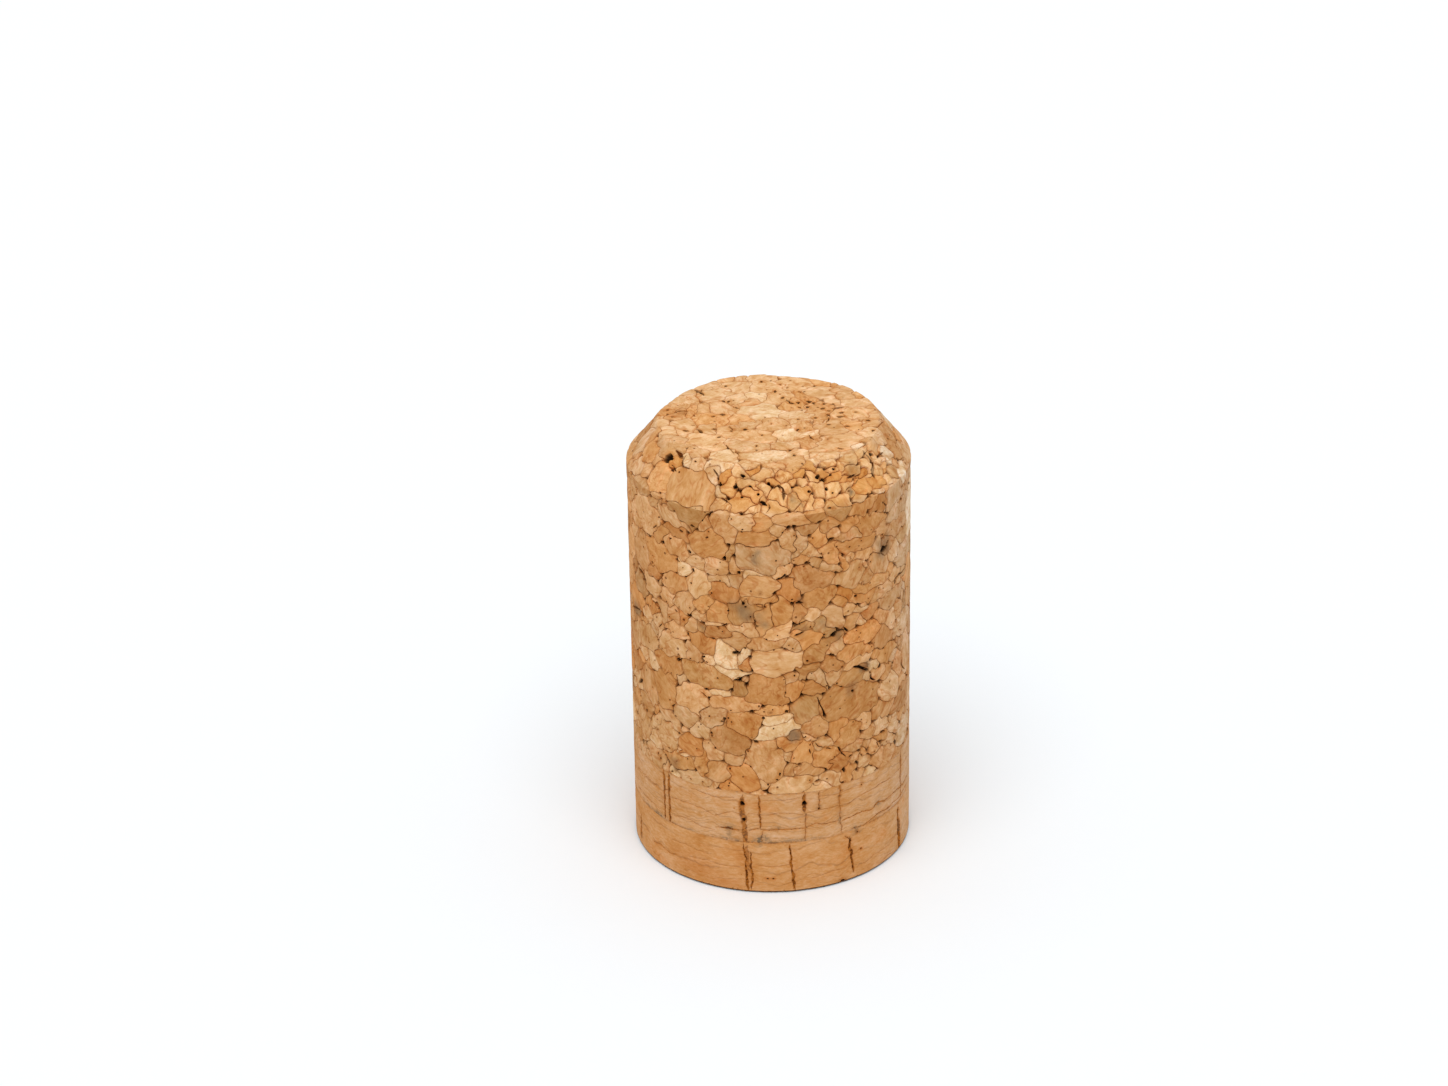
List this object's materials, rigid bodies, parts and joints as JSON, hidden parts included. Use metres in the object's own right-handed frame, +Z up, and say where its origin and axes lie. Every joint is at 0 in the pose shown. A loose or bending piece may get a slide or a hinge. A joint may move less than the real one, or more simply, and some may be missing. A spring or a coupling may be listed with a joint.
{
  "type": "cork stopper",
  "caption": "Chamfered cylindrical cork stopper for sparkling wine: a body of glued cork granules on natural cork discs.",
  "frame": {"origin": "centre of the flat bottom face, on the surface that the stopper stands on", "axes": "+Z up along the stopper's axis, from the disc end to the chamfered end; -Y is the front"},
  "size_m": [0.0295, 0.0294, 0.048],
  "materials": {
    "agglomerated_cork": "matte",
    "natural_cork_upper": "matte",
    "natural_cork_lower": "matte"
  },
  "bodies": {
    "root": {"agglomerate_body": "agglomerated_cork", "upper_disc": "natural_cork_upper", "lower_disc": "natural_cork_lower"}
  },
  "joints": []
}
